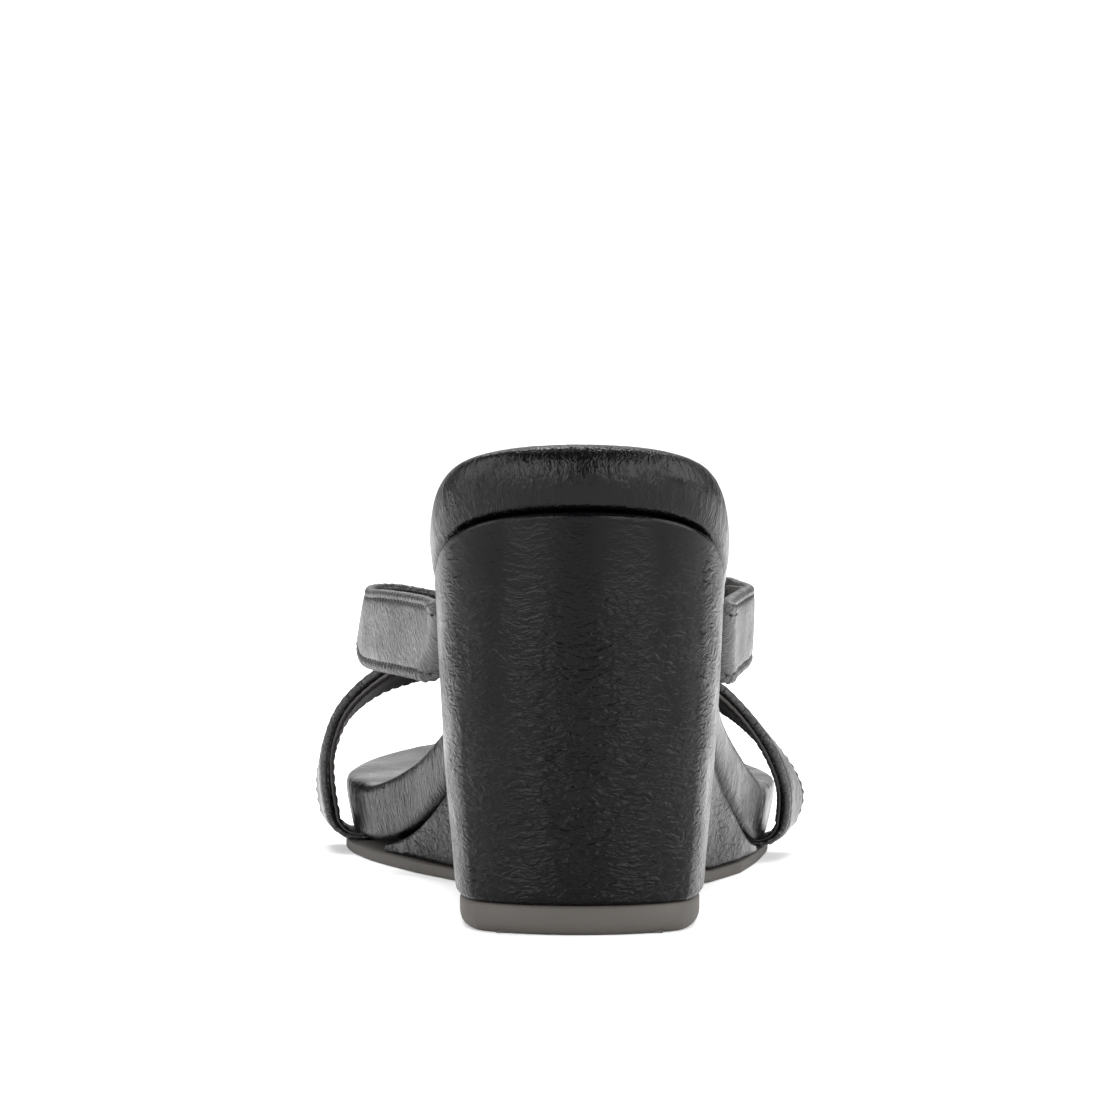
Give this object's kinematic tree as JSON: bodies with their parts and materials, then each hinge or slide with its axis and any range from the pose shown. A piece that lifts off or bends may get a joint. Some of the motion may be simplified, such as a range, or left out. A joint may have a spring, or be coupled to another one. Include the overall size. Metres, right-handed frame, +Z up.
{
  "type": "wedge sandal",
  "caption": "Slip-on wedge sandal for a right foot: leather-wrapped high wedge, padded footbed and crossed straps over the foot.",
  "frame": {"origin": "on the floor, under the middle of the part's box", "axes": "+Y towards the toe, +X towards the outer side of the foot, +Z up"},
  "size_m": [0.1044, 0.23, 0.0957],
  "materials": {
    "patent_leather": "crinkled patent, glossy",
    "strap_lining": "smooth lining, satin",
    "sole_rubber": "moulded, matt",
    "wedge_plastic": "moulded",
    "fibre_board": "pressed fibre",
    "foam": "open foam",
    "tape": "woven tape",
    "steel": "bright steel"
  },
  "bodies": {
    "root": {"outsole": "sole_rubber", "heel_top_lift": "sole_rubber", "wedge_core": "wedge_plastic", "wedge_wrap": "patent_leather", "bottom_filler": "fibre_board", "insole_board": "fibre_board", "shank": "steel", "footbed_foam": "foam", "heel_cushion": "foam", "footbed_cover": "patent_leather", "top_lift_nail_1": "steel", "top_lift_nail_2": "steel", "top_lift_nail_3": "steel", "top_lift_nail_4": "steel", "shank_rivet_1": "steel", "shank_rivet_2": "steel", "heel_screw_1": "steel", "heel_screw_2": "steel", "heel_screw_3": "steel", "under_strap_face": "patent_leather", "under_strap_tape": "tape", "under_strap_lining": "strap_lining", "over_strap_face": "patent_leather", "over_strap_tape": "tape", "over_strap_lining": "strap_lining"}
  },
  "joints": []
}
